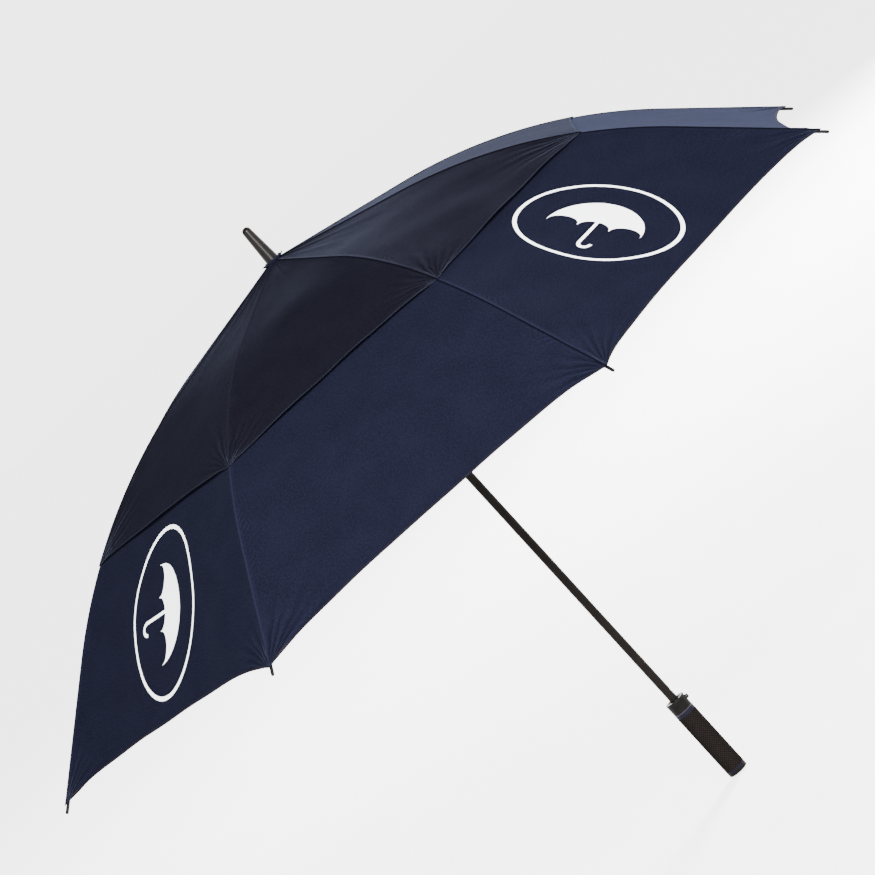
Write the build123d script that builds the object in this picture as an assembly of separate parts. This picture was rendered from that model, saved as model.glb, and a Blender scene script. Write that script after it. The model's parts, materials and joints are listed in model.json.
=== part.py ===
from build123d import *
import math
import os

os.makedirs("parts", exist_ok=True)

# Golf umbrella, open, standing on the end of its handle with the shaft along +Z.
# Millimetres. Z = 0 is the underside of the handle's end cap, the shaft is on the Z axis.

# ---- overall ----
TOTAL_H = 973.0
APEX_Z = 914.5
GORES = 8
PITCH = 360.0 / GORES
HALF = math.radians(PITCH / 2)

# ---- rib line: the outer face of the fabric along a rib, a straight, an arc and a straight ----
RIB_START_R = 12.0
RIB_TOP_ANGLE = 11.5
RIB_TOP_LEN = 197.0
RIB_BEND_R = 779.0
RIB_END_ANGLE = 39.8
RIB_LEN = 774.9
HEM_S = 761.0
HEM_SCALLOP = 19.5
VENT_HEM_S = 457.0
VENT_SCALLOP = 6.0
FOLD_S = 370.0
LOWER_START_S = 388.0
FABRIC_T = 0.8
LOWER_DEPTH = 1.1
SEAM_GAP = 0.17

# ---- ribs and stretchers ----
ROD_DEPTH = 4.2
ROD_R = 1.8
TIP_R = 2.1
CROWN_PIVOT_R = 11.0
PIN_S = 366.0
PIN_DROP = 7.0
PIN_R = 1.0
FLEX_ALONG = 12.0
FLEX_PIN_R = 0.9
PLATE_T = 1.8
PLATE_R = 2.0
PLATE_END = 9.0
WIRE_R = 0.5
EYE_R = 0.85
STRETCHER_R = 1.6

# ---- shaft, crown and runner ----
SHAFT_R = 6.0
SHAFT_BORE_R = 5.1
SHAFT_FOOT = 20.0
SHAFT_TOP = 940.0
HUB_R = 14.0
HUB_CORE_R = 8.4
SLOT_W = 2.5
RUNNER_BORE_R = 6.3
RUNNER_SLEEVE_R = 8.4
SLEEVE_LEN = 52.0
FOLD_ANGLE = 72.0

# ---- inside the shaft: plunger, opening spring, latch ----
PLUNGER_DROP = 26.0
PLUNGER_R = 4.6
SEAT_FROM = 48.0
SEAT_TOP = 61.6
SPRING_R = 2.1
SPRING_WIRE_R = 0.35
SPRING_TURNS = 40
TONGUE_X = 4.3
TONGUE_T = 0.5
TONGUE_W = 3.2
TONGUE_FROM = 56.0
LATCH_Z = 138.0
LATCH_REACH = 7.6

# ---- ferrule and rosette ----
FERRULE_BASE_Z = 916.2
FLANGE_R = 10.4
FLANGE_T = 2.0
FERRULE_BASE_R = 9.3
FERRULE_END_R = 6.3
DIAGONAL = math.sqrt(0.5)
ROSETTE_R = 13.6
ROSETTE_WAVE = 1.2

# ---- handle ----
GRIP_R = 14.4
BAND_R = 14.3
COLLAR_R = 14.2
RING_R = 14.6
CORE_R = 10.5
CAP_TO = 6.0
GRIP_FROM = 9.4
GRIP_TO = 105.4
CORE_TOP = 109.0
BAND_TO = 111.2
COLLAR_FROM = 111.9
RING_FROM = 127.4
COLLAR_TOP = 130.0
BUTTON_TURN = -17.1
BUTTON_Z = 122.4
BUTTON_R = 3.0
BUTTON_INNER = 10.5
BUTTON_OUTER = 18.1

BEND_LEN = RIB_BEND_R * math.radians(RIB_END_ANGLE - RIB_TOP_ANGLE)


def rib_angle(s):
    """Slope of the rib below level, in radians, at the length s from the crown."""
    into_bend = min(max(s - RIB_TOP_LEN, 0.0), BEND_LEN)
    return math.radians(RIB_TOP_ANGLE) + into_bend / RIB_BEND_R


def rib_point(s, depth=0.0):
    """Radius and height of the point at length s on the rib line, moved depth under the fabric."""
    top = math.radians(RIB_TOP_ANGLE)
    first = min(s, RIB_TOP_LEN)
    r = RIB_START_R + first * math.cos(top)
    z = APEX_Z - first * math.sin(top)
    angle = rib_angle(s)
    r += RIB_BEND_R * (math.sin(angle) - math.sin(top))
    z -= RIB_BEND_R * (math.cos(top) - math.cos(angle))
    rest = max(s - RIB_TOP_LEN - BEND_LEN, 0.0)
    r += rest * math.cos(angle)
    z -= rest * math.sin(angle)
    return (r - depth * math.sin(angle), z - depth * math.cos(angle))


def rod_vertex(s):
    r, z = rib_point(s, ROD_DEPTH)
    return Vector(r, 0, z)


def rod_arc(s0, s1):
    return ThreePointArc(rod_vertex(s0), rod_vertex((s0 + s1) / 2), rod_vertex(s1))


def rod_line(s0, s1):
    return Line(rod_vertex(s0), rod_vertex(s1))


def swept_rod(path, radius):
    start = Plane(origin=path @ 0, z_dir=path % 0)
    return sweep(start * Circle(radius), path=path)


def bar_along_y(plane, x, z, radius, half_width):
    """A round bar crossing the rib plane at x, z of a plane whose own Y is level."""
    return plane * Pos(x, 0, z) * Rot(90, 0, 0) * Cylinder(radius, 2 * half_width)


def block(plane, x0, x1, half_width, z0, z1):
    size = Box(x1 - x0, 2 * half_width, z1 - z0)
    return plane * Pos((x0 + x1) / 2, 0, (z0 + z1) / 2) * size


def one(shape):
    """The single solid of a shape that was joined or cut."""
    return shape.solids().sort_by(SortBy.VOLUME)[-1]


def around(index, shape):
    return Rot(0, 0, PITCH * index) * shape


def gore_turn(index, shape):
    return Rot(0, 0, PITCH * (index + 0.5)) * shape


def save(shape, name):
    export_step(shape, "parts/" + name + ".step")


# ---- the linkage: equal arms from the crown and the runner meet at the stretcher pin ----
start_s = (CROWN_PIVOT_R - RIB_START_R + ROD_DEPTH * math.sin(math.radians(RIB_TOP_ANGLE)))
start_s = start_s / math.cos(math.radians(RIB_TOP_ANGLE))
crown_pivot_z = rib_point(start_s, ROD_DEPTH)[1]
pin_r, pin_z = rib_point(PIN_S, ROD_DEPTH + PIN_DROP)
runner_pivot_z = 2 * pin_z - crown_pivot_z
arm_len = math.hypot(pin_r - CROWN_PIVOT_R, crown_pivot_z - pin_z)
open_angle = math.degrees(math.atan2(pin_r - CROWN_PIVOT_R, crown_pivot_z - pin_z))
closed_angle = math.radians(open_angle - FOLD_ANGLE)
runner_closed_z = crown_pivot_z - 2 * arm_len * math.cos(closed_angle)
runner_travel = runner_pivot_z - runner_closed_z

# ---- rib, inner length: eye at the crown, rod, moulded joint with the stretcher pin ----
top_slope = math.radians(RIB_TOP_ANGLE)
root_plane = Plane(
    origin=(CROWN_PIVOT_R, 0, crown_pivot_z),
    x_dir=(math.cos(top_slope), 0, -math.sin(top_slope)),
    z_dir=(math.sin(top_slope), 0, math.cos(top_slope)),
)
eye_plate = block(root_plane, 0, PLATE_END, PLATE_T / 2, -PLATE_R + 0.2, PLATE_R - 0.2)
eye_plate += bar_along_y(root_plane, 0, 0, PLATE_R, PLATE_T / 2)
inner_path = Wire([rod_line(8.0, RIB_TOP_LEN), rod_arc(RIB_TOP_LEN, 352.0)])
inner_rod = swept_rod(inner_path, ROD_R)

pin_slope = rib_angle(PIN_S)
joint_r, joint_z = rib_point(PIN_S, ROD_DEPTH)
joint_plane = Plane(
    origin=(joint_r, 0, joint_z),
    x_dir=(math.cos(pin_slope), 0, -math.sin(pin_slope)),
    z_dir=(math.sin(pin_slope), 0, math.cos(pin_slope)),
)
joint = block(joint_plane, -18, 18, 2.5, -2.3, 2.3)
joint = chamfer(joint.edges().filter_by(GeomType.LINE).group_by(Axis.X)[0], 0.8)
joint -= block(joint_plane, 8.5, 20, 1.0, -4, 4)
joint += block(joint_plane, -3.2, 3.2, 0.9, -PIN_DROP, -2.0)
joint += bar_along_y(joint_plane, 0, -PIN_DROP, 3.2, 0.9)
joint += bar_along_y(joint_plane, 0, -PIN_DROP, PIN_R, 2.9)
joint += bar_along_y(joint_plane, FLEX_ALONG, 0, FLEX_PIN_R, 2.5)

rib = one(eye_plate + inner_rod + joint)
rib = one(rib - bar_along_y(root_plane, 0, 0, EYE_R, 3))

# ---- rib, outer length: flexing end with its rounded tip ----
outer_path = Wire(
    [
        rod_arc(PIN_S + FLEX_ALONG + 8, RIB_TOP_LEN + BEND_LEN),
        rod_line(RIB_TOP_LEN + BEND_LEN, RIB_LEN - TIP_R),
    ]
)
outer_rod = swept_rod(outer_path, ROD_R)
knuckle = block(joint_plane, FLEX_ALONG, FLEX_ALONG + 12, 0.7, -1.5, 1.4)
knuckle += bar_along_y(joint_plane, FLEX_ALONG, 0, 2.3, 0.7)
tip_path = rod_line(HEM_S - 8, RIB_LEN - TIP_R)
tip = swept_rod(Wire([tip_path]), TIP_R)
tip += Pos(*rod_vertex(RIB_LEN - TIP_R)) * Sphere(TIP_R)
rib_end = outer_rod + knuckle + tip
rib_end = one(rib_end - bar_along_y(joint_plane, FLEX_ALONG, 0, FLEX_PIN_R + 0.35, 3))

# ---- stretcher: eye plate at the runner, rod, fork at the rib ----
arm_lift = math.radians(90 - open_angle)
arm_plane = Plane(
    origin=(CROWN_PIVOT_R, 0, runner_pivot_z),
    x_dir=(math.cos(arm_lift), 0, math.sin(arm_lift)),
    z_dir=(-math.sin(arm_lift), 0, math.cos(arm_lift)),
)
arm = block(arm_plane, 0, PLATE_END, PLATE_T / 2, -PLATE_R + 0.2, PLATE_R - 0.2)
arm += bar_along_y(arm_plane, 0, 0, PLATE_R, PLATE_T / 2)
arm_path = Line(arm_plane.from_local_coords((8, 0, 0)), arm_plane.from_local_coords((arm_len - 8, 0, 0)))
arm += swept_rod(Wire([arm_path]), STRETCHER_R)
arm += block(arm_plane, arm_len - 14, arm_len, 2.25, -2.2, 2.2)
arm += bar_along_y(arm_plane, arm_len, 0, 2.2, 2.25)
arm -= block(arm_plane, arm_len - 5, arm_len + 4, 1.25, -4, 4)
arm -= bar_along_y(arm_plane, arm_len, 0, PIN_R + 0.35, 4)
stretcher = one(arm - bar_along_y(arm_plane, 0, 0, EYE_R, 3))

# ---- fabric: each gore is bent along its length only, with straight threads across ----


def gore_profile(s0, s1, depth):
    """The gore's section through its middle, a band of fabric thickness, drawn in the XZ plane."""
    count = 13
    upper = []
    lower = []
    for n in range(count):
        s = s0 + (s1 - s0) * n / (count - 1)
        r, z = rib_point(s, depth)
        upper.append(Vector(r * math.cos(HALF), 0, z))
        r, z = rib_point(s, depth + FABRIC_T)
        lower.append(Vector(r * math.cos(HALF), 0, z))
    top = Spline(upper)
    under = Spline(lower)
    edges = [top, Line(upper[-1], lower[-1]), under, Line(lower[0], upper[0])]
    return make_face(edges)


def gore_outline(s0, s1, scallop):
    """Plan view of the gore between two rib lengths, the outer edge hollowed by the scallop."""
    inner_r = rib_point(s0)[0]
    side = SEAM_GAP / math.sin(HALF)
    outer = []
    for n in range(-8, 9):
        across = n / 8
        r = rib_point(s1 - scallop * (1 - abs(across) ** 3))[0]
        x = r * math.cos(HALF)
        y = across * (r * math.sin(HALF) - SEAM_GAP / math.cos(HALF))
        outer.append(Vector(x, y, 0))
    x0 = inner_r * math.cos(HALF)
    y0 = (x0 - side) * math.tan(HALF)
    first = Vector(x0, -y0, 0)
    last = Vector(x0, y0, 0)
    if scallop > 0:
        hem = Spline(outer)
    else:
        hem = Line(outer[0], outer[-1])
    return make_face([hem, Line(outer[-1], last), Line(last, first), Line(first, outer[0])])


def gore_panel(s0, s1, depth, scallop):
    reach = rib_point(s1)[0] * math.sin(HALF) + 5
    band = extrude(gore_profile(s0 - 0.5, s1 + 0.5, depth), reach, both=True)
    prism = Pos(0, 0, APEX_Z - 500) * extrude(gore_outline(s0, s1, scallop), 600)
    return one(band & prism)


vent_panel = gore_panel(0.5, FOLD_S - 0.2, 0.0, 0.0)
vent_flap = gore_panel(FOLD_S + 0.2, VENT_HEM_S, 0.0, VENT_SCALLOP)
lower_panel = gore_panel(LOWER_START_S, HEM_S, LOWER_DEPTH, HEM_SCALLOP)

for i in range(GORES):
    save(around(i, rib), "rib_" + str(i + 1))
    save(around(i, rib_end), "rib_end_" + str(i + 1))
    save(around(i, stretcher), "stretcher_" + str(i + 1))
    save(gore_turn(i, vent_panel), "vent_panel_" + str(i + 1))
    skirt = Compound([gore_turn(i, vent_flap), gore_turn(i, lower_panel)])
    save(skirt, "canopy_panel_" + str(i + 1))


# ---- crown, runner and their ring wires ----
def ring(outer, inner, z0, z1):
    return Pos(0, 0, (z0 + z1) / 2) * (Cylinder(outer, z1 - z0) - Cylinder(inner, z1 - z0 + 1))


def radial_slots(z0, z1):
    slots = []
    for n in range(GORES):
        slot = Pos(HUB_CORE_R + 5, 0, (z0 + z1) / 2) * Box(10, SLOT_W, z1 - z0)
        slots.append(around(n, slot))
    return slots


crown_wire = Pos(0, 0, crown_pivot_z) * Torus(CROWN_PIVOT_R, WIRE_R)
crown = ring(HUB_R, SHAFT_R, crown_pivot_z - 6, crown_pivot_z + 1.8)
for slot in radial_slots(crown_pivot_z - 7, crown_pivot_z + 3):
    crown -= slot
save(one(crown - crown_wire), "crown")
save(crown_wire, "crown_wire")

plunger_z = runner_pivot_z - PLUNGER_DROP
plunger_low = plunger_z - runner_travel
runner_wire = Pos(0, 0, runner_pivot_z) * Torus(CROWN_PIVOT_R, WIRE_R)
runner = ring(HUB_R, RUNNER_BORE_R, runner_pivot_z - 6, runner_pivot_z + 5.5)
for slot in radial_slots(runner_pivot_z - 3.2, runner_pivot_z + 7):
    runner -= slot
runner += ring(RUNNER_SLEEVE_R, RUNNER_BORE_R, runner_pivot_z - SLEEVE_LEN, runner_pivot_z - 6)
runner += ring(10.0, RUNNER_BORE_R, runner_pivot_z - SLEEVE_LEN, runner_pivot_z - SLEEVE_LEN + 3)
window_z = LATCH_Z + runner_travel
window = Rot(0, 0, BUTTON_TURN) * Pos(8, 0, window_z + 3) * Box(8, 5.4, 9)
plunger_hole = Pos(0, 8, plunger_z) * Rot(90, 0, 0) * Cylinder(1.0, 8)
save(one(runner - runner_wire - window - plunger_hole), "runner")
save(runner_wire, "runner_wire")

plunger = Pos(0, 0, plunger_z) * Cylinder(PLUNGER_R, 9)
plunger += Pos(0, 5.5, plunger_z) * Rot(90, 0, 0) * Cylinder(1.0, 5.8)
save(one(plunger), "plunger")

# ---- shaft: tube with the plunger slot at the back and the latch and button holes ----
shaft = ring(SHAFT_R, SHAFT_BORE_R, SHAFT_FOOT, SHAFT_TOP)
slot_low = plunger_low - 2.5
slot_high = plunger_z + 2.5
shaft -= Pos(0, 5, (slot_low + slot_high) / 2) * Box(2.6, 3, slot_high - slot_low)
shaft -= Rot(0, 0, BUTTON_TURN) * Pos(5, 0, LATCH_Z + 3) * Box(3, 4.6, 8.4)
shaft -= Rot(0, 0, BUTTON_TURN) * Pos(5, 0, BUTTON_Z) * Rot(0, 90, 0) * Cylinder(1.6, 3)
save(one(shaft), "shaft")

# ---- inside the shaft: spring seat, opening spring, latch tongue ----
seat = Pos(0, 0, (SEAT_FROM + SEAT_TOP) / 2) * Cylinder(SHAFT_BORE_R, SEAT_TOP - SEAT_FROM)
seat -= Rot(0, 0, BUTTON_TURN) * Pos(TONGUE_X, 0, TONGUE_FROM + 4) * Box(TONGUE_T, TONGUE_W, 8)
save(one(seat), "spring_seat")

spring_len = plunger_z - 4.5 - SEAT_TOP - 2 * SPRING_WIRE_R - 0.2
spring_path = Helix(pitch=spring_len / SPRING_TURNS, height=spring_len, radius=SPRING_R)
spring = swept_rod(spring_path, SPRING_WIRE_R)
save(Pos(0, 0, SEAT_TOP + SPRING_WIRE_R + 0.1) * spring, "opening_spring")

tongue_top = LATCH_Z + 5
tongue = Box(TONGUE_T, TONGUE_W, tongue_top - TONGUE_FROM)
tongue = Pos(TONGUE_X, 0, (TONGUE_FROM + tongue_top) / 2) * tongue
hook_back = TONGUE_X - TONGUE_T / 2
hook_corners = [(hook_back, LATCH_Z), (LATCH_REACH, LATCH_Z), (hook_back, LATCH_Z + 6.4)]
hook = make_face(Polyline(hook_corners, close=True))
hook_solid = Rot(90, 0, 0) * Pos(0, 0, -TONGUE_W / 2) * extrude(hook, TONGUE_W)
save(Rot(0, 0, BUTTON_TURN) * one(tongue + hook_solid), "latch_tongue")

# ---- handle ----
handle_core = Pos(0, 0, (CAP_TO + CORE_TOP) / 2) * Cylinder(CORE_R, CORE_TOP - CAP_TO)
handle_core -= Pos(0, 0, SHAFT_FOOT + 50) * Cylinder(SHAFT_R, 100)
save(one(handle_core), "handle_core")

grip = ring(GRIP_R, CORE_R, GRIP_FROM, GRIP_TO)
save(grip, "grip")

upper_band = ring(BAND_R, CORE_R, GRIP_TO, CORE_TOP) + ring(BAND_R, SHAFT_R, CORE_TOP, BAND_TO)
lower_band = ring(BAND_R, CORE_R, CAP_TO, GRIP_FROM)
save(Compound([one(upper_band), one(lower_band)]), "grip_bands")
save(ring(BAND_R - 0.1, SHAFT_R, BAND_TO, COLLAR_FROM), "hairline_ring")

cap_section = make_face(
    [
        ThreePointArc((0, 0), (6.6, 0.3), (COLLAR_R - 0.9, 1.2)),
        ThreePointArc((COLLAR_R - 0.9, 1.2), (COLLAR_R - 0.3, 1.6), (COLLAR_R, 2.3)),
        Line((COLLAR_R, 2.3), (COLLAR_R, CAP_TO)),
        Line((COLLAR_R, CAP_TO), (0, CAP_TO)),
        Line((0, CAP_TO), (0, 0)),
    ]
)
save(revolve(Rot(90, 0, 0) * cap_section, Axis.Z), "end_cap")

collar = ring(COLLAR_R, SHAFT_R, COLLAR_FROM, RING_FROM)
button_bore = Rot(0, 0, BUTTON_TURN) * Pos(7.2 + 5, 0, BUTTON_Z) * Rot(0, 90, 0) * Cylinder(3.35, 10)
stem_bore = Rot(0, 0, BUTTON_TURN) * Pos(6, 0, BUTTON_Z) * Rot(0, 90, 0) * Cylinder(1.6, 6)
save(one(collar - button_bore - stem_bore), "collar")

rim = ring(RING_R, 7.6, RING_FROM, COLLAR_TOP)
rim = fillet(rim.edges().filter_by(GeomType.CIRCLE).sort_by(Axis.Z)[2:], 0.6)
save(one(rim), "collar_ring")

button_len = BUTTON_OUTER - BUTTON_INNER
stem_from = TONGUE_X + TONGUE_T
stem_len = BUTTON_INNER + 0.2 - stem_from
button = Pos(BUTTON_INNER + button_len / 2, 0, BUTTON_Z) * Rot(0, 90, 0) * Cylinder(BUTTON_R, button_len)
button = fillet(button.edges().filter_by(GeomType.CIRCLE).sort_by(Axis.X)[-1], 1.2)
button += Pos(stem_from + stem_len / 2, 0, BUTTON_Z) * Rot(0, 90, 0) * Cylinder(1.2, stem_len)
save(Rot(0, 0, BUTTON_TURN) * one(button), "push_button")

button_spring = swept_rod(Helix(pitch=0.62, height=2.48, radius=2.1), 0.2)
button_spring = Rot(0, 90, 0) * button_spring
save(Rot(0, 0, BUTTON_TURN) * Pos(7.5, 0, BUTTON_Z) * button_spring, "button_spring")

# ---- ferrule and the gathered rosette under it ----
flange_top = FERRULE_BASE_Z + FLANGE_T
end_z = TOTAL_H - FERRULE_END_R
ferrule_section = make_face(
    [
        Line((0, FERRULE_BASE_Z), (FLANGE_R, FERRULE_BASE_Z)),
        Line((FLANGE_R, FERRULE_BASE_Z), (FLANGE_R, flange_top)),
        Line((FLANGE_R, flange_top), (FERRULE_BASE_R, flange_top)),
        Line((FERRULE_BASE_R, flange_top), (FERRULE_END_R, end_z)),
        ThreePointArc(
            (FERRULE_END_R, end_z),
            (FERRULE_END_R * DIAGONAL, end_z + FERRULE_END_R * DIAGONAL),
            (0, TOTAL_H),
        ),
        Line((0, TOTAL_H), (0, FERRULE_BASE_Z)),
    ]
)
ferrule = revolve(Rot(90, 0, 0) * ferrule_section, Axis.Z)
ferrule -= Pos(0, 0, SHAFT_TOP / 2) * Cylinder(SHAFT_R, SHAFT_TOP)
save(one(ferrule), "ferrule")

ruffle = []
for n in range(128):
    turn = 2 * math.pi * n / 128
    reach = ROSETTE_R + ROSETTE_WAVE * math.cos(16 * turn)
    ruffle.append(Vector(reach * math.cos(turn), reach * math.sin(turn), 0))
frill = Pos(0, 0, 915.0) * extrude(make_face(Spline(ruffle, periodic=True)), FERRULE_BASE_Z - 915.0)
rosette = frill + Pos(0, 0, 913.8) * Cylinder(10.2, 2.6)
rosette -= Pos(0, 0, 913) * Cylinder(SHAFT_R, 20)
save(one(rosette), "rosette")

print("crown pivot z", round(crown_pivot_z, 3))
print("pin r, z", round(pin_r, 3), round(pin_z, 3), "arm", round(arm_len, 3))
print("open angle", round(open_angle, 3), "runner pivot z", round(runner_pivot_z, 3))
print("runner closed z", round(runner_closed_z, 3), "travel", round(runner_travel, 3))
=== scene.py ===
import json
import math

import bpy
import numpy as np
from mathutils import Matrix, Vector


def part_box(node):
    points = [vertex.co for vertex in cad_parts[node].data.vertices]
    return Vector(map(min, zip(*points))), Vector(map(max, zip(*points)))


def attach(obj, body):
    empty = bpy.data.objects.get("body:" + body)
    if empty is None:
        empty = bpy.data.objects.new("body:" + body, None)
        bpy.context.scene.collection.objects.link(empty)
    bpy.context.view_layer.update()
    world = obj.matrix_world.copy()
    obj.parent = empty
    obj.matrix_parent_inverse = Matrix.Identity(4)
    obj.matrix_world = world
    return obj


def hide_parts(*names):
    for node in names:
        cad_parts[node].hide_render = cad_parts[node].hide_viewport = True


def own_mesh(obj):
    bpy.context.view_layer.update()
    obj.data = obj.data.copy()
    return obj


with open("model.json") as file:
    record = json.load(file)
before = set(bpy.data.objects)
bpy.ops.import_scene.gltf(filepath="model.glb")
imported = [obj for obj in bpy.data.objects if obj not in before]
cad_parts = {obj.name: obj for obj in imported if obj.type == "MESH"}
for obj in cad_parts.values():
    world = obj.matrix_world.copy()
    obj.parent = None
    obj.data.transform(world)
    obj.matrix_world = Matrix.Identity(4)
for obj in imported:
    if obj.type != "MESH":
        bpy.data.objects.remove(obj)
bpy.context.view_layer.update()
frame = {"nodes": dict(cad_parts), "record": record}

# ---- the canopy's shape, in metres: the same rib line as the CAD ----
# A rib runs straight from the crown, bends along one arc and ends straight. s is the length along it.
GORES = 8
HALF = math.radians(180 / GORES)
APEX_Z = 0.9145
START_R = 0.012
TOP_LEN = 0.197
BEND_R = 0.779
TOP_ANGLE = math.radians(11.5)
END_ANGLE = math.radians(39.8)
BEND_LEN = BEND_R * (END_ANGLE - TOP_ANGLE)
CROWN_S = 0.0005
FOLD_S = 0.370
VENT_HEM_S = 0.457
VENT_SCALLOP = 0.006
LOWER_S = 0.388
LOWER_DEPTH = 0.0011
HEM_S = 0.7645
HEM_SCALLOP = 0.0265
CLOTH_T = 0.00045

# ---- the fabric's relief, in metres ----
CALM = 0.03  # ripples die away within this distance of a seam
VENT_SAG = 0.0030
VENT_LIFT = 0.0058
LIFT_FROM_S = 0.30
VENT_RIPPLE = 0.0005
VENT_FLUTTER = 0.0013
CROWN_RIPPLE = 0.00035
CROWN_FOLDS = 0.0009
VENT_CORNER_FOLDS = 0.0015
LOWER_SAG = 0.0095
LOWER_RIPPLE = 0.0007
LOWER_CORNER_FOLDS = 0.0018
PUCKER = 0.00012
PUCKER_PITCH = 0.013
SEAM_STEP = 0.0009
SEAM_WIDTH = 0.0034
HEM_STEP = 0.00015
HEM_WIDTH = 0.008

# ---- the fabric's finish, in metres ----
THREAD_PITCH = 0.0011
STITCH_PITCH = 0.0034
RUCK_PITCH = 0.0095
MARK_S = 0.588
MARK_HALF_LENGTH = 0.120
MARK_HALF_WIDTH = 0.078

# ---- the handle's finish, in metres ----
STUDS_ROUND = 22.0
STUD_TURN_PER_METRE = 1500.0
INLAY_R = 0.0122
INLAY_HALF_WIDTH = 0.0017
INLAY_DEPTH = 0.0004


def rib_point(s, depth):
    """Radius and height along the rib line at length s, depth under the fabric's face."""
    into = np.clip(s - TOP_LEN, 0, BEND_LEN)
    angle = TOP_ANGLE + into / BEND_R
    first = np.minimum(s, TOP_LEN)
    rest = np.maximum(s - TOP_LEN - BEND_LEN, 0)
    r = START_R + first * math.cos(TOP_ANGLE)
    r = r + BEND_R * (np.sin(angle) - math.sin(TOP_ANGLE)) + rest * math.cos(END_ANGLE)
    z = APEX_Z - first * math.sin(TOP_ANGLE)
    z = z - BEND_R * (math.cos(TOP_ANGLE) - np.cos(angle)) - rest * math.sin(END_ANGLE)
    return r - depth * np.sin(angle), z - depth * np.cos(angle)


def waves(x, y, seed, length, count=9):
    """Smooth unrepeating ripples about one unit high."""
    rng = np.random.default_rng(seed)
    total = np.zeros(np.broadcast(x, y).shape)
    for _ in range(count):
        turn = rng.uniform(0, 2 * math.pi)
        scale = 2 * math.pi / (length * rng.uniform(0.7, 1.6))
        phase = rng.uniform(0, 2 * math.pi)
        total += np.sin(scale * (x * math.cos(turn) + y * math.sin(turn)) + phase)
    return total / math.sqrt(count)


def fan(across, along, tip_along, tip_across, reach, folds, seed):
    """Tension folds that spread over the cloth from one corner and die away with distance."""
    dx = along - tip_along
    dy = across - tip_across
    far = np.hypot(dx, dy)
    turn = np.arctan2(dy, dx)
    rng = np.random.default_rng(seed)
    ripple = np.sin(folds * turn + rng.uniform(0, 6.3)) + 0.5 * np.sin(2.3 * folds * turn + 1.7)
    return ripple * np.exp(-far / reach) * np.minimum(far / (0.25 * reach), 1.0)


def corner_fans(across, s, hem_s, reach, folds, seed):
    """The folds from each of the two corners where a hem meets its ribs."""
    half_width = rib_point(hem_s, 0.0)[0] * math.sin(HALF)
    return [fan(across, s, hem_s, side * half_width, reach, folds, seed + side) for side in (-1, 1)]


def cloth_relief(s, v, across, seam, hem, gore, layer):
    """How far the cloth stands out from the plain gore; v goes from -1 to 1 between its two ribs.

    The seeds make every gore's folds its own.
    """
    r = rib_point(s, 0.0)[0]
    inner = np.clip(seam / CALM, 0, 1)
    if layer == "upper":
        sag = -VENT_SAG * np.clip(s / 0.4, 0, 1)
        lift = VENT_LIFT * np.clip((s - LIFT_FROM_S) / (VENT_HEM_S - LIFT_FROM_S), 0, 1) ** 2
        out = (sag + lift) * (1 - v * v)
        out += VENT_RIPPLE * waves(across, s, 11 + gore, 0.11) * inner
        out += CROWN_RIPPLE * np.exp(-s / 0.06) * np.sin(9 * v + gore)
        flutter = waves(across, 0 * s, 131 + gore, 0.10)
        out += VENT_FLUTTER * flutter * inner * np.clip((s - 0.38) / 0.07, 0, 1) ** 2
        out += CROWN_FOLDS * fan(across, s, 0.0, 0.0, 0.09, 17, 17 + gore) * inner
        for folds in corner_fans(across, s, VENT_HEM_S, 0.05, 13, 31 + gore * 2):
            out += VENT_CORNER_FOLDS * folds * inner
    else:
        out = -LOWER_SAG * (r / 0.7) * (1 - v * v) * np.clip((s - 0.36) / 0.15, 0.45, 1)
        out += LOWER_RIPPLE * waves(across, s, 71 + gore, 0.14) * inner
        for folds in corner_fans(across, s, HEM_S, 0.075, 15, 51 + gore * 2):
            out += LOWER_CORNER_FOLDS * folds * inner
    pucker = np.sin(2 * math.pi * s / PUCKER_PITCH + 1.5 * waves(s, 0 * s, 91 + gore, 0.05))
    out += PUCKER * np.exp(-seam / 0.006) * pucker * np.clip(seam / 0.002, 0, 1)
    # The seam allowance lies folded on one side of each rib and ends sharply on the other.
    out += SEAM_STEP * np.where(v < 0, np.exp(-((seam / SEAM_WIDTH) ** 4)), np.exp(-seam / 0.0006))
    out += HEM_STEP * (0.5 - 0.5 * np.tanh((hem - HEM_WIDTH) / 0.0016))
    return out


def placed(name, data):
    """A new object that holds the data, put in the scene."""
    made = bpy.data.objects.new(name, data)
    bpy.context.scene.collection.objects.link(made)
    return made


def set_uv(mesh, name, lengths):
    """A UV map from two lengths for each point of the mesh."""
    points = np.empty(len(mesh.loops), dtype=np.int64)
    mesh.loops.foreach_get("vertex_index", points)
    mesh.uv_layers.new(name=name).data.foreach_set("uv", lengths[points].astype(np.float32).ravel())


def sheet_faces(rows, columns):
    """Top, underside and wall faces of a closed thin sheet, and the points round its top."""
    wide = columns + 1
    per_side = wide * (rows + 1)
    i, j = np.meshgrid(np.arange(rows), np.arange(columns), indexing="ij")
    a = (i * wide + j).ravel()
    top = np.stack([a, a + wide, a + wide + 1, a + 1], axis=1)
    under = per_side + top[:, ::-1]
    rim = np.concatenate(
        [
            np.arange(0, wide),
            np.arange(2 * wide - 1, per_side, wide),
            np.arange(per_side - 2, per_side - wide - 1, -1),
            np.arange(per_side - 2 * wide, 0, -wide),
        ]
    )
    following = np.roll(rim, -1)
    wall = np.stack([rim, following, following + per_side, rim + per_side], axis=1)
    return top, under, wall, rim


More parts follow.
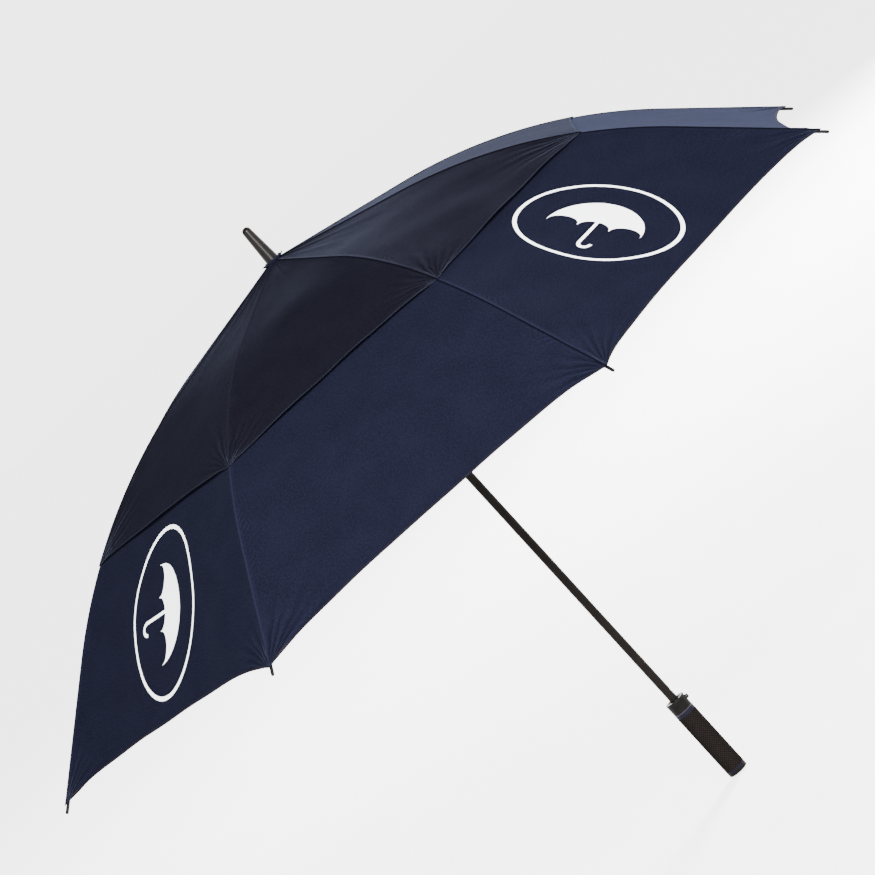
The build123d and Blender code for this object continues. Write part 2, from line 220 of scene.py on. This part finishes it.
def gore_cloth(name, gore, s0, s1, scallop, depth, layer, rows, columns, paints):
    """One panel of a gore as a thin closed cloth, with a material for its top face and one for the rest.

    The UV maps hold the cloth's own lengths in metres: across and along it, and from its hem and its seam.
    """
    edge = np.linspace(-1, 1, columns + 1)
    v = np.sign(edge) * (1 - (1 - np.abs(edge)) ** 1.6)
    t = np.linspace(0, 1, rows + 1)
    if scallop > 0:
        t = 1 - (1 - t) ** 1.15
    vv, tt = np.meshgrid(v, t)
    corner = 0.18 * scallop
    end = s1 - (scallop - corner) * (1 - np.abs(vv) ** 3) - corner * (1 - np.abs(vv) ** 14)
    s = s0 + (end - s0) * tt
    hem = end - s if scallop > 0 else np.full_like(s, 1.0)
    angle = TOP_ANGLE + np.clip(s - TOP_LEN, 0, BEND_LEN) / BEND_R
    nx = np.sin(angle)
    nz = np.cos(angle) * math.cos(HALF)
    norm = np.hypot(nx, nz)
    turn = HALF * (2 * gore + 1)
    sides = []
    for under in (0.0, CLOTH_T):
        r, z = rib_point(s, depth + under)
        across = vv * r * math.sin(HALF)
        seam = (1 - np.abs(vv)) * r * math.sin(HALF)
        out = cloth_relief(s, vv, across, seam, hem, gore, layer)
        x = r * math.cos(HALF) + out * nx / norm
        y = vv * x * math.tan(HALF)
        px = x * math.cos(turn) - y * math.sin(turn)
        py = x * math.sin(turn) + y * math.cos(turn)
        sides.append(np.stack([px, py, z + out * nz / norm], axis=-1).reshape(-1, 3))
    top, under, wall, rim = sheet_faces(rows, columns)
    faces = np.concatenate([top, under, wall])
    mesh = bpy.data.meshes.new(name)
    mesh.from_pydata(np.concatenate(sides).tolist(), [], faces.tolist())
    mesh.validate()
    for paint in paints:
        mesh.materials.append(paint)
    mesh.polygons.foreach_set("material_index", (np.arange(len(faces)) >= len(top)).astype(np.int32))
    set_uv(mesh, "cloth", np.tile(np.stack([across.ravel(), s.ravel()], axis=1), (2, 1)))
    set_uv(mesh, "edge", np.tile(np.stack([hem.ravel(), seam.ravel()], axis=1), (2, 1)))
    mesh.polygons.foreach_set("use_smooth", [True] * len(mesh.polygons))
    per_side = s.size
    on_rim = np.zeros(2 * per_side, bool)
    on_rim[rim] = True
    on_rim[rim + per_side] = True
    ends = np.empty(2 * len(mesh.edges), dtype=np.int64)
    mesh.edges.foreach_get("vertices", ends)
    ends = ends.reshape(-1, 2)
    same_side = (ends[:, 0] < per_side) == (ends[:, 1] < per_side)
    sharp = mesh.attributes.new("sharp_edge", "BOOLEAN", "EDGE")
    sharp.data.foreach_set("value", on_rim[ends[:, 0]] & on_rim[ends[:, 1]] & same_side)
    mesh.update()
    area = float((s1 - s0) * math.sin(HALF) * (rib_point(s0, 0.0)[0] + rib_point(s1, 0.0)[0]))
    return placed(name, mesh), area


# ---- small helpers for node materials ----
class Nodes:
    """Builds one material's node tree."""

    def __init__(self, name):
        self.material = bpy.data.materials.new(name)
        self.material.use_nodes = True
        self.tree = self.material.node_tree
        self.shader = self.tree.nodes["Principled BSDF"]

    def node(self, kind, **settings):
        made = self.tree.nodes.new(kind)
        for key, value in settings.items():
            setattr(made, key, value)
        return made

    def link(self, source, target):
        self.tree.links.new(source, target)

    def feed(self, target_name, source):
        """Gives one of the shader's inputs a value or a link."""
        target = self.shader.inputs[target_name]
        if isinstance(source, (float, tuple)):
            target.default_value = source
        else:
            self.link(source, target)

    def math(self, how, a, b=None, c=None):
        made = self.node("ShaderNodeMath", operation=how)
        for place, value in enumerate((a, b, c)):
            if value is None:
                continue
            if isinstance(value, (int, float)):
                made.inputs[place].default_value = value
            else:
                self.link(value, made.inputs[place])
        return made.outputs[0]

    def times(self, a, b):
        return self.math("MULTIPLY", a, b)

    def plus(self, a, b):
        return self.math("ADD", a, b)

    def minus(self, a, b):
        return self.math("SUBTRACT", a, b)

    def above(self, a, b):
        return self.math("GREATER_THAN", a, b)

    def below(self, a, b):
        return self.math("LESS_THAN", a, b)

    def band(self, value, middle, half_width):
        """One where the value lies within half_width of the middle, and nothing elsewhere."""
        return self.math("COMPARE", value, middle, half_width)

    def sine(self, value):
        return self.math("SINE", value)

    def wave(self, length, pitch):
        """A sine along a length, in metres, that repeats at each pitch."""
        return self.sine(self.times(length, 2 * math.pi / pitch))

    def distance(self, x, y):
        return self.math("SQRT", self.plus(self.times(x, x), self.times(y, y)))

    def mix(self, share, a, b):
        made = self.node("ShaderNodeMix", data_type="RGBA")
        for target, value in ((made.inputs["Factor"], share), (made.inputs["A"], a), (made.inputs["B"], b)):
            if isinstance(value, tuple):
                target.default_value = (*value, 1.0)
            elif isinstance(value, float):
                target.default_value = value
            else:
                self.link(value, target)
        return made.outputs["Result"]

    def noise(self, coords, scale, detail=3.0, roughness=0.55):
        made = self.node("ShaderNodeTexNoise")
        made.inputs["Scale"].default_value = scale
        made.inputs["Detail"].default_value = detail
        made.inputs["Roughness"].default_value = roughness
        self.link(coords, made.inputs["Vector"])
        return made.outputs["Fac"]

    def stretch(self, value, low, high, to_low=0.0, to_high=1.0):
        made = self.node("ShaderNodeMapRange")
        self.link(value, made.inputs["Value"])
        made.inputs["From Min"].default_value = low
        made.inputs["From Max"].default_value = high
        made.inputs["To Min"].default_value = to_low
        made.inputs["To Max"].default_value = to_high
        return made.outputs["Result"]

    def bump(self, height, distance, strength=1.0, under=None):
        made = self.node("ShaderNodeBump")
        made.inputs["Strength"].default_value = strength
        made.inputs["Distance"].default_value = distance
        self.link(height, made.inputs["Height"])
        if under is not None:
            self.link(under, made.inputs["Normal"])
        return made.outputs["Normal"]

    def place(self):
        return self.node("ShaderNodeTexCoord").outputs["Object"]

    def split(self, source):
        made = self.node("ShaderNodeSeparateXYZ")
        self.link(source, made.inputs[0])
        return made.outputs

    def uv(self, name):
        source = self.node("ShaderNodeUVMap", uv_map=name).outputs["UV"]
        parts = self.split(source)
        return source, parts[0], parts[1]


def scaled(colour, factor):
    return tuple(channel * factor for channel in colour)


def printed_mark(m, across, along):
    """A plain umbrella seen from the side, in an oval ring; it reads along the gore."""
    drop = 0.012  # from the ring's middle down to the dome's base
    dome_half_width, dome_height = 0.070, 0.052
    line_half_width = 0.0024
    crook_r, crook_drop = 0.0085, 0.0325

    def oval(p, q, wide, tall):
        return m.distance(m.math("DIVIDE", p, wide), m.math("DIVIDE", q, tall))

    p = m.minus(along, MARK_S)
    ring = m.band(oval(p, across, MARK_HALF_LENGTH, MARK_HALF_WIDTH), 0.975, 0.025)
    low = m.plus(across, drop)
    dome = m.below(oval(p, low, dome_half_width, dome_height), 1.0)
    dome = m.times(dome, m.above(low, 0.0))
    for middle in (-0.0467, 0.0, 0.0467):
        scallop = oval(m.minus(p, middle), low, 0.0228, 0.0125)
        dome = m.times(dome, m.above(scallop, 1.0))
    stick = m.times(m.band(p, 0.0, line_half_width), m.band(low, -0.010, 0.0225))
    bend = oval(m.minus(p, crook_r), m.plus(low, crook_drop), 1.0, 1.0)
    crook = m.times(m.band(bend, crook_r, line_half_width), m.below(low, -crook_drop))
    return m.math("MAXIMUM", m.math("MAXIMUM", ring, dome), m.math("MAXIMUM", stick, crook))


def corner_folds(m, cloth, along, seam, corner_s):
    """Fine tension folds that fan out over the cloth from the corner where the hem meets a rib."""
    back = m.minus(corner_s, along)
    far = m.distance(back, seam)
    bend = m.times(m.noise(cloth, 22.0, 2.0), 7.0)
    rays = m.sine(m.math("MULTIPLY_ADD", m.math("ARCTAN2", back, seam), 24.0, bend))
    near = m.times(m.stretch(far, 0.010, 0.105, 1.0, 0.0), m.stretch(far, 0.002, 0.012))
    return m.times(rays, near)


def seam_rucks(m, cloth, along, seam):
    """Short slanting puckers beside a seam, in loose patches."""
    drift = m.times(m.noise(cloth, 45.0, 2.0), 9.0)
    slant = m.math("MULTIPLY_ADD", seam, 0.8, along)
    ruck = m.sine(m.math("MULTIPLY_ADD", slant, 2 * math.pi / RUCK_PITCH, drift))
    near = m.times(m.stretch(seam, 0.0035, 0.032, 1.0, 0.0), m.stretch(seam, 0.002, 0.006))
    patch = m.stretch(m.noise(cloth, 11.0, 2.0), 0.52, 0.68)
    return m.times(ruck, m.times(near, patch))


def cloth_material(name, dark, light, edge, sheen, corner_s, marked=False):
    """Tightly woven pongee: fine threads, stitched hem, puckered seams, and a plain white printed mark. The
    folds and the seam's ridge also carry painted highlight and painted shade.
    """
    m = Nodes(name)
    cloth, across, along = m.uv("cloth")
    _, hem, seam = m.uv("edge")
    mottle = m.noise(cloth, 22.0, 4.0)
    slub = m.noise(cloth, 420.0, 2.5, 0.7)
    tone = m.mix(m.stretch(mottle, 0.3, 0.7), dark, light)
    tone = m.mix(m.stretch(slub, 0.38, 0.70, 0.0, 0.8), tone, scaled(light, 2.0))
    folds = m.plus(corner_folds(m, cloth, along, seam, corner_s), seam_rucks(m, cloth, along, seam))
    # Painted highlight on the crests of the corner folds and seam rucks, and painted shade in their troughs,
    # on top of their bump.
    tone = m.mix(m.times(m.stretch(folds, 0.25, 0.95), 0.55), tone, scaled(light, 2.0))
    tone = m.mix(m.times(m.stretch(folds, -0.25, -0.95), 0.4), tone, scaled(dark, 0.4))
    hem_stitch = m.times(m.band(hem, 0.0016, 0.0010), m.above(m.wave(across, STITCH_PITCH), -0.5))
    tone = m.mix(hem_stitch, tone, edge)
    # Painted highlight along the ridge of the folded seam allowance, and painted shadow on the cloth's low
    # side of the seam.
    folded = m.times(m.below(across, 0.0), m.below(seam, 0.0026))
    tone = m.mix(m.times(folded, 0.8), tone, scaled(light, 1.9))
    shade = m.times(m.above(across, 0.0), m.below(seam, 0.0018))
    tone = m.mix(m.times(shade, 0.7), tone, (0.001, 0.001, 0.0016))
    seam_stitch = m.times(m.band(seam, 0.0046, 0.0003), m.above(m.wave(along, STITCH_PITCH), -0.4))
    tone = m.mix(seam_stitch, tone, scaled(light, 1.6))
    if marked:
        fleck = m.stretch(slub, 0.25, 0.6, 0.86, 1.0)
        tone = m.mix(m.times(printed_mark(m, across, along), fleck), tone, (0.93, 0.94, 0.96))
    m.feed("Base Color", tone)
    m.feed("Roughness", m.stretch(slub, 0.2, 0.8, 0.46, 0.60))
    m.feed("Sheen Weight", sheen)
    m.feed("Sheen Roughness", 0.35)
    m.feed("Sheen Tint", (0.60, 0.68, 1.0, 1.0))
    m.feed("Specular IOR Level", 0.0)
    weave = m.times(m.wave(across, THREAD_PITCH), m.wave(along, THREAD_PITCH))
    fine = m.bump(weave, 0.00006, 0.35)
    creases = m.bump(m.noise(cloth, 38.0, 3.0), 0.0012, 0.35, fine)
    m.feed("Normal", m.bump(folds, 0.0008, 0.8, creases))
    return m.material


def plastic_material(name, dark, light, rough, grain, depth=0.00002, gloss=0.03):
    """Moulded or painted: a blotched colour, and a grain that varies the roughness and the surface."""
    m = Nodes(name)
    place = m.place()
    speck = m.noise(place, grain, 2.0)
    m.feed("Base Color", m.mix(m.stretch(m.noise(place, 60.0, 3.0), 0.3, 0.7), dark, light))
    m.feed("Roughness", m.stretch(speck, 0.25, 0.75, *rough))
    m.feed("Normal", m.bump(speck, depth, 0.5))
    m.feed("Specular IOR Level", gloss)
    return m.material


def metal_material(name, dark, light, rough, stretch):
    """Bare metal with drawn streaks."""
    m = Nodes(name)
    mapping = m.node("ShaderNodeMapping")
    mapping.inputs["Scale"].default_value = stretch
    m.link(m.place(), mapping.inputs["Vector"])
    streak = m.noise(mapping.outputs[0], 1.0, 4.0)
    m.feed("Base Color", m.mix(m.stretch(streak, 0.3, 0.7), dark, light))
    m.feed("Roughness", m.stretch(streak, 0.25, 0.75, *rough))
    m.feed("Normal", m.bump(streak, 0.00002, 0.4))
    m.feed("Metallic", 1.0)
    return m.material


def grip_material(name):
    """Black rubber with a fine raised diamond pattern."""
    m = Nodes(name)
    place = m.place()
    x, y, z = m.split(place)
    around = m.times(m.math("ARCTAN2", y, x), STUDS_ROUND)
    up = m.times(z, STUD_TURN_PER_METRE)
    studs = m.times(m.plus(m.sine(m.plus(around, up)), m.sine(m.minus(around, up))), 0.5)
    dust = m.noise(place, 420.0, 3.0)
    # The stud tops are painted lighter and the grooves between them darker: painted highlight and painted
    # shade over the bump.
    tone = m.mix(m.stretch(studs, -0.6, 0.8), (0.0020, 0.0017, 0.0016), (0.0080, 0.0066, 0.0060))
    tone = m.mix(m.stretch(dust, 0.4, 0.8, 0.0, 0.4), tone, (0.0100, 0.0085, 0.0078))
    m.feed("Base Color", tone)
    m.feed("Roughness", m.stretch(dust, 0.3, 0.7, 0.55, 0.78))
    m.feed("Normal", m.bump(studs, 0.00045, 0.9))
    m.feed("Specular IOR Level", 0.0)
    return m.material


def rim_material(name):
    """Black collar rim with a bright metal inlay on the outer half of its top face."""
    m = Nodes(name)
    place = m.place()
    x, y, z = m.split(place)
    face = m.above(z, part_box("collar_ring")[1][2] - INLAY_DEPTH)
    inlay = m.times(face, m.band(m.distance(x, y), INLAY_R, INLAY_HALF_WIDTH))
    streak = m.noise(place, 900.0, 3.0)
    black = m.mix(streak, (0.0022, 0.0020, 0.0019), (0.0042, 0.0037, 0.0035))
    silver = m.mix(streak, (0.50, 0.51, 0.53), (0.62, 0.63, 0.65))
    m.feed("Base Color", m.mix(inlay, black, silver))
    m.feed("Metallic", inlay)
    m.feed("Roughness", m.stretch(streak, 0.25, 0.75, 0.22, 0.34))
    m.feed("Specular IOR Level", 0.05)
    return m.material


# ---- materials ----
lower_look = {
    "dark": (0.0023, 0.0025, 0.0054),
    "light": (0.0033, 0.0035, 0.0075),
    "edge": (0.012, 0.009, 0.009),
    "sheen": 0.018,
    "corner_s": HEM_S,
}
plain_cloth = cloth_material("navy_cloth", **lower_look)
marked_cloth = cloth_material("navy_marked_cloth", marked=True, **lower_look)
upper_cloth = cloth_material(
    "navy_upper_cloth",
    dark=(0.0020, 0.0019, 0.0032),
    light=(0.0028, 0.0027, 0.0047),
    edge=(0.009, 0.010, 0.016),
    sheen=0.018,
    corner_s=VENT_HEM_S,
)
rosette_cloth = cloth_material(
    "rosette_cloth",
    dark=(0.003, 0.003, 0.008),
    light=(0.006, 0.007, 0.016),
    edge=(0.006, 0.007, 0.016),
    sheen=0.05,
    corner_s=HEM_S,
)
by_slot = {
    "canopy_fabric": plain_cloth,
    "rosette_fabric": rosette_cloth,
    "rib_rod": plastic_material(
        "rib_black", (0.0035, 0.0034, 0.0036), (0.0060, 0.0058, 0.0060), (0.4, 0.55), 900.0
    ),
    "stretcher_steel": plastic_material(
        "arm_paint", (0.0040, 0.0040, 0.0042), (0.0070, 0.0068, 0.0070), (0.36, 0.5), 900.0
    ),
    "shaft_steel": plastic_material(
        "shaft_paint", (0.0030, 0.0022, 0.0019), (0.0050, 0.0038, 0.0032), (0.34, 0.46), 1200.0
    ),
    "navy_band": plastic_material(
        "navy_plastic", (0.0028, 0.0026, 0.0054), (0.0040, 0.0038, 0.0078), (0.4, 0.55), 600.0
    ),
    "black_plastic": plastic_material(
        "hard_black", (0.0028, 0.0021, 0.0019), (0.0048, 0.0037, 0.0033), (0.26, 0.32), 700.0, 0.000008, 0.10
    ),
    "collar_plastic": plastic_material(
        "gloss_black", (0.0022, 0.0020, 0.0019), (0.0042, 0.0037, 0.0035), (0.34, 0.46), 500.0, 0.00001, 0.025
    ),
    "spring_steel": metal_material(
        "spring_metal", (0.42, 0.43, 0.45), (0.60, 0.61, 0.63), (0.25, 0.4), (300.0, 300.0, 60.0)
    ),
    "hairline_silver": metal_material(
        "silver_line", (0.03, 0.03, 0.035), (0.06, 0.06, 0.065), (0.25, 0.4), (90.0, 90.0, 400.0)
    ),
    "grip_rubber": grip_material("grip_rubber"),
    "rim_chrome": rim_material("rim_metal"),
}
for part in frame["record"]["subparts"]:
    shown = frame["nodes"][part["node"]]
    shown.data.materials.clear()
    shown.data.materials.append(by_slot[part["material_slot"]])

# ---- the canopy's cloths ----
ROWS = 84
COLUMNS = 96
ROWS_LENGTH = 0.38  # a panel of this length gets all the rows
# The share of its width that each cloth would keep when the umbrella is closed. It holds for the whole cloth,
# so it lies between what the two ends would need. Nothing in this script reads these shares.
VENT_KEEP = 0.160
FLAP_KEEP = 0.150
LOWER_KEEP = 0.110
for gore in range(GORES):
    number = str(gore + 1)
    ribs = ["rib_" + number, "rib_" + str((gore + 1) % GORES + 1)]
    ends = ["rib_end_" + number, "rib_end_" + str((gore + 1) % GORES + 1)]
    lower_paints = (marked_cloth if gore % 2 == 0 else plain_cloth, plain_cloth)
    upper_paints = (upper_cloth, upper_cloth)
    panels = (
        ("vent_cloth_", CROWN_S, FOLD_S, 0.0, upper_paints, "vent_", ribs, VENT_KEEP),
        ("vent_flap_", FOLD_S, VENT_HEM_S, VENT_SCALLOP, upper_paints, "canopy_", ends, FLAP_KEEP),
        ("lower_cloth_", LOWER_S, HEM_S, HEM_SCALLOP, lower_paints, "canopy_", ends, LOWER_KEEP),
    )
    for prefix, s0, s1, scallop, paints, body, holds, keep in panels:
        layer = "lower" if prefix == "lower_cloth_" else "upper"
        depth = LOWER_DEPTH if layer == "lower" else 0.0
        rows = max(int(ROWS * ((s1 - s0) / ROWS_LENGTH)), 10)
        cloth, area = gore_cloth(prefix + number, gore, s0, s1, scallop, depth, layer, rows, COLUMNS, paints)
        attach(cloth, body + number)
        node = "vent_panel_" if prefix == "vent_cloth_" else "canopy_panel_"
        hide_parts(node + number)
        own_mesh(cloth)

# ---- the gathered rosette under the ferrule ----
GATHER_FROM_R = 0.0108  # the washer is held flat inside this radius
PROFILE = (
    (0.0064, 0.9130),
    (0.0103, 0.9133),
    (0.0106, 0.9146),
    (0.0140, 0.9158),
    (0.0168, 0.9176),
    (0.0170, 0.9182),
    (0.0142, 0.9168),
    (0.0108, 0.9161),
    (0.0064, 0.9161),
)
turns = np.linspace(0, 2 * math.pi, 161)[:-1]
rings = []
for radius, height in PROFILE:
    loose = max(radius - GATHER_FROM_R, 0.0) / 0.006
    r = radius + loose * (0.0007 * np.sin(9 * turns) + 0.0004 * np.sin(16 * turns + 1.0))
    z = height + loose * 0.0008 * np.sin(13 * turns + 1.4)
    rings.append(np.stack([r * np.cos(turns), r * np.sin(turns), z], axis=-1))
verts = np.concatenate(rings)
count = len(turns)
faces = []
for step in range(len(PROFILE)):
    this = step * count
    following = (step + 1) % len(PROFILE) * count
    for k in range(count):
        after = (k + 1) % count
        faces.append((this + k, following + k, following + after, this + after))
mesh = bpy.data.meshes.new("rosette_gathers")
mesh.from_pydata(verts.tolist(), [], faces)
mesh.polygons.foreach_set("use_smooth", [True] * len(mesh.polygons))
set_uv(mesh, "cloth", verts[:, :2])
set_uv(mesh, "edge", np.full((len(verts), 2), 0.5))
rosette = placed("rosette_gathers", mesh)
rosette.data.materials.append(rosette_cloth)
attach(rosette, "frame")
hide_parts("rosette")

# ---- floor ----
REACH = 30.0
FLOOR_Z = -0.001
floor_mesh = bpy.data.meshes.new("floor")
floor_corners = [(-REACH, -REACH), (REACH, -REACH), (REACH, REACH), (-REACH, REACH)]
floor_mesh.from_pydata([(x, y, FLOOR_Z) for x, y in floor_corners], [], [(0, 1, 2, 3)])
floor = placed("floor", floor_mesh)
paper = Nodes("floor_paper")
grain = paper.stretch(paper.noise(paper.place(), 3.0, 2.0), 0.3, 0.7)
paper.feed("Base Color", paper.mix(grain, (0.30, 0.30, 0.30), (0.33, 0.33, 0.33)))
paper.feed("Roughness", 0.9)
paper.feed("Emission Color", (1.0, 1.0, 1.0, 1.0))
paper.feed("Emission Strength", 3.7)
paper.feed("Specular IOR Level", 0.0)
floor.data.materials.append(paper.material)

# ---- world: bright at the horizon and dim overhead ----
world = bpy.context.scene.world or bpy.data.worlds.new("studio")
bpy.context.scene.world = world
world.use_nodes = True
sky = world.node_tree
background = sky.nodes["Background"]
height = sky.nodes.new("ShaderNodeSeparateXYZ")
sky.links.new(sky.nodes.new("ShaderNodeTexCoord").outputs["Generated"], height.inputs[0])
ceiling = sky.nodes.new("ShaderNodeMapRange")
ceiling.interpolation_type = "SMOOTHSTEP"
sky.links.new(height.outputs[2], ceiling.inputs["Value"])
ceiling.inputs["From Min"].default_value = 0.06
ceiling.inputs["From Max"].default_value = 0.34
ceiling.inputs["To Min"].default_value = 4.0
ceiling.inputs["To Max"].default_value = 0.5
sky.links.new(ceiling.outputs["Result"], background.inputs["Strength"])
background.inputs["Color"].default_value = (1.0, 1.0, 1.0, 1.0)

# ---- lights ----
VIEW_TURN = Matrix.Rotation(math.radians(-17.104), 3, "Z")


def turned(x, y, z):
    """A point given as seen from the camera's side: x to its right, y away from it."""
    return VIEW_TURN @ Vector((x, y, z))


def softbox(name, place, aim, size, power):
    lamp = bpy.data.lights.new(name, "AREA")
    lamp.shape = "RECTANGLE"
    lamp.size = size
    lamp.size_y = size
    lamp.energy = power
    made = placed(name, lamp)
    made.location = place
    made.rotation_euler = (aim - place).to_track_quat("-Z", "Y").to_euler()
    return made


softbox("key_light", turned(0.35, -3.9, 2.3), turned(0, 0, 0.7), 1.2, 880.0)
# The side light grazes the black parts from behind, so it isn't mirrored in them.
side = softbox("side_light", turned(3.3, 4.2, 1.75), turned(0.1, 0, 0.7), 2.0, 4300.0)
side.visible_glossy = False

# ---- camera: it looks at a point under the crown, rolled so that the stick lies askew ----
ELEVATION = math.radians(5.572)
ROLL = math.radians(-42.406)
DISTANCE = 5.25623
AIM = Vector((0, 0, APEX_Z - 0.35))
SHIFT_RIGHT = -0.02158
SHIFT_UP = 0.02757
back = Vector((0, -math.cos(ELEVATION), math.sin(ELEVATION)))
level = Vector((1, 0, 0))
upright = back.cross(level)
right = level * math.cos(ROLL) + upright * math.sin(ROLL)
up = upright * math.cos(ROLL) - level * math.sin(ROLL)
eye = AIM + VIEW_TURN @ (back * DISTANCE + right * SHIFT_RIGHT + up * SHIFT_UP)
axes = Matrix((VIEW_TURN @ right, VIEW_TURN @ up, VIEW_TURN @ back)).transposed()
lens = bpy.data.cameras.new("camera")
lens.sensor_width = 36.0
lens.lens = 164.6566
lens.clip_end = 200.0
camera = placed("camera", lens)
camera.matrix_world = Matrix.Translation(eye) @ axes.to_4x4()
bpy.context.scene.camera = camera
